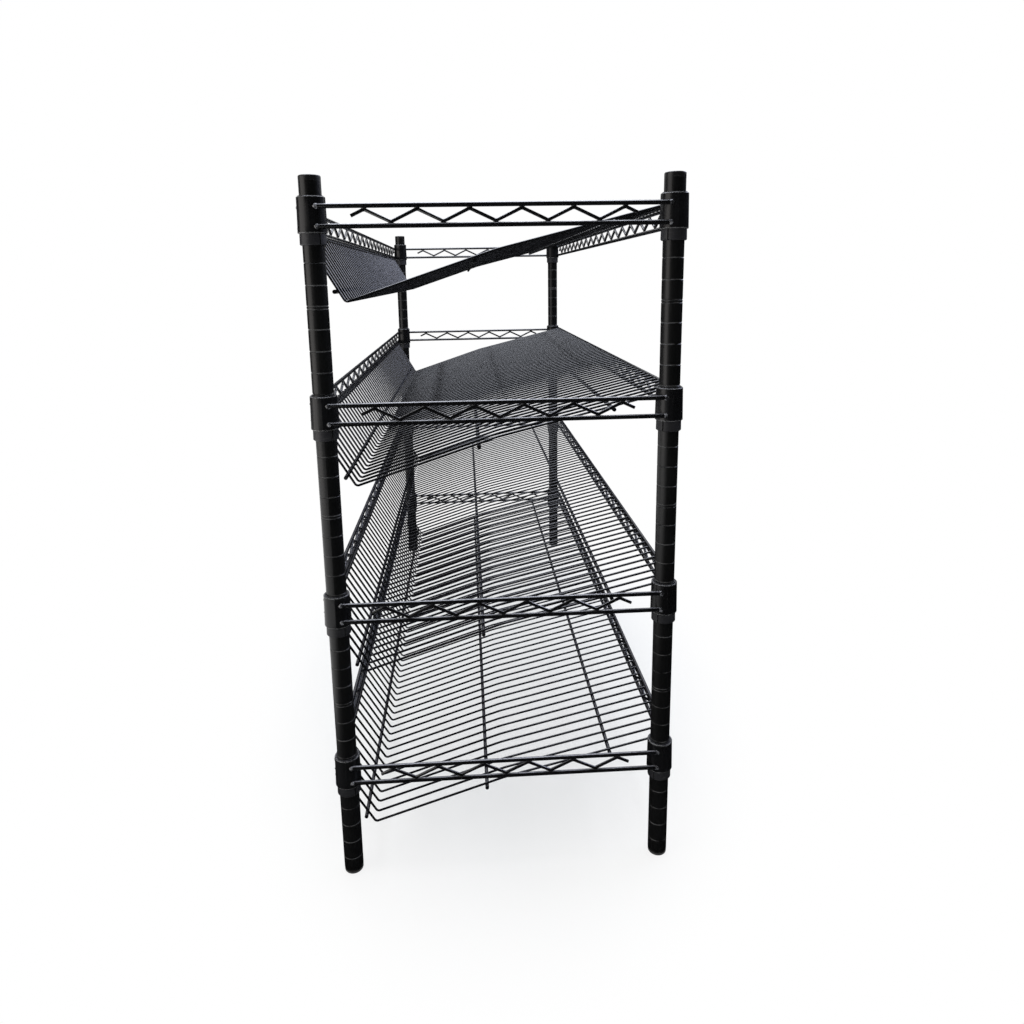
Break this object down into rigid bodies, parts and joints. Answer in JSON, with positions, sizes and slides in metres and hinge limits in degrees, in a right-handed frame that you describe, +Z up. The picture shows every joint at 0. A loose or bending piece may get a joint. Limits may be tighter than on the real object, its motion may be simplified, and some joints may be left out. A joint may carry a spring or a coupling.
{
  "type": "slanted wine rack",
  "caption": "Black wire rack with grooved round posts and wire shelves bent to a V, so that bottles lie on a slope behind a steep front lip.",
  "frame": {"origin": "on the floor below the middle of the rack, halfway between the four post axes", "axes": "+X along the length, -Y towards the steep front lip, +Y towards the high rear edge, +Z up"},
  "size_m": [1.1974, 0.4531, 0.894],
  "materials": {
    "post_coat": "satin black powder coat on tube",
    "shelf_coat": "satin black powder coat on wire",
    "sleeve_plastic": "satin black moulded plastic",
    "cap_plastic": "satin black moulded plastic",
    "foot_plastic": "matt black moulded plastic",
    "insert_steel": "zinc plated"
  },
  "bodies": {
    "frame": {"post_fl": "post_coat", "post_fr": "post_coat", "post_rl": "post_coat", "post_rr": "post_coat", "cap_fl": "cap_plastic", "cap_fr": "cap_plastic", "cap_rl": "cap_plastic", "cap_rr": "cap_plastic", "foot_inserts": "insert_steel", "sleeves1_left": "sleeve_plastic", "sleeves1_right": "sleeve_plastic", "sleeves2_left": "sleeve_plastic", "sleeves2_right": "sleeve_plastic", "sleeves3_left": "sleeve_plastic", "sleeves3_right": "sleeve_plastic", "sleeves4_left": "sleeve_plastic", "sleeves4_right": "sleeve_plastic"},
    "shelf1": {"shelf1_collars": "shelf_coat", "shelf1_end_rails": "shelf_coat", "shelf1_front_rails": "shelf_coat", "shelf1_rear_rails": "shelf_coat", "shelf1_end_zigzags": "shelf_coat", "shelf1_long_zigzags": "shelf_coat", "shelf1_lip_wires": "shelf_coat", "shelf1_tray_wires": "shelf_coat", "shelf1_supports": "shelf_coat"},
    "shelf2": {"shelf2_collars": "shelf_coat", "shelf2_end_rails": "shelf_coat", "shelf2_front_rails": "shelf_coat", "shelf2_rear_rails": "shelf_coat", "shelf2_end_zigzags": "shelf_coat", "shelf2_long_zigzags": "shelf_coat", "shelf2_lip_wires": "shelf_coat", "shelf2_tray_wires": "shelf_coat", "shelf2_supports": "shelf_coat"},
    "shelf3": {"shelf3_collars": "shelf_coat", "shelf3_end_rails": "shelf_coat", "shelf3_front_rails": "shelf_coat", "shelf3_rear_rails": "shelf_coat", "shelf3_end_zigzags": "shelf_coat", "shelf3_long_zigzags": "shelf_coat", "shelf3_lip_wires": "shelf_coat", "shelf3_tray_wires": "shelf_coat", "shelf3_supports": "shelf_coat"},
    "shelf4": {"shelf4_collars": "shelf_coat", "shelf4_end_rails": "shelf_coat", "shelf4_front_rails": "shelf_coat", "shelf4_rear_rails": "shelf_coat", "shelf4_end_zigzags": "shelf_coat", "shelf4_long_zigzags": "shelf_coat", "shelf4_lip_wires": "shelf_coat", "shelf4_tray_wires": "shelf_coat", "shelf4_supports": "shelf_coat"},
    "levelling_foot_fl": {"foot_fl": "foot_plastic"},
    "levelling_foot_fr": {"foot_fr": "foot_plastic"},
    "levelling_foot_rl": {"foot_rl": "foot_plastic"},
    "levelling_foot_rr": {"foot_rr": "foot_plastic"}
  },
  "joints": [
    {"name": "shelf1_lift", "type": "slide", "parent": "frame", "child": "shelf1", "axis": [0, 0, 1], "range_m": [0, 0.171]},
    {"name": "shelf2_lift", "type": "slide", "parent": "frame", "child": "shelf2", "axis": [0, 0, 1], "range_m": [0, 0.196]},
    {"name": "shelf3_lift", "type": "slide", "parent": "frame", "child": "shelf3", "axis": [0, 0, 1], "range_m": [0, 0.171]},
    {"name": "shelf4_lift", "type": "slide", "parent": "frame", "child": "shelf4", "axis": [0, 0, 1], "range_m": [0, 0.05]},
    {"name": "foot_fl_level", "type": "slide", "parent": "frame", "child": "levelling_foot_fl", "axis": [0, 0, -1], "range_m": [0, 0.015]},
    {"name": "foot_fr_level", "type": "slide", "parent": "frame", "child": "levelling_foot_fr", "axis": [0, 0, -1], "range_m": [0, 0.015]},
    {"name": "foot_rl_level", "type": "slide", "parent": "frame", "child": "levelling_foot_rl", "axis": [0, 0, -1], "range_m": [0, 0.015]},
    {"name": "foot_rr_level", "type": "slide", "parent": "frame", "child": "levelling_foot_rr", "axis": [0, 0, -1], "range_m": [0, 0.015]}
  ]
}
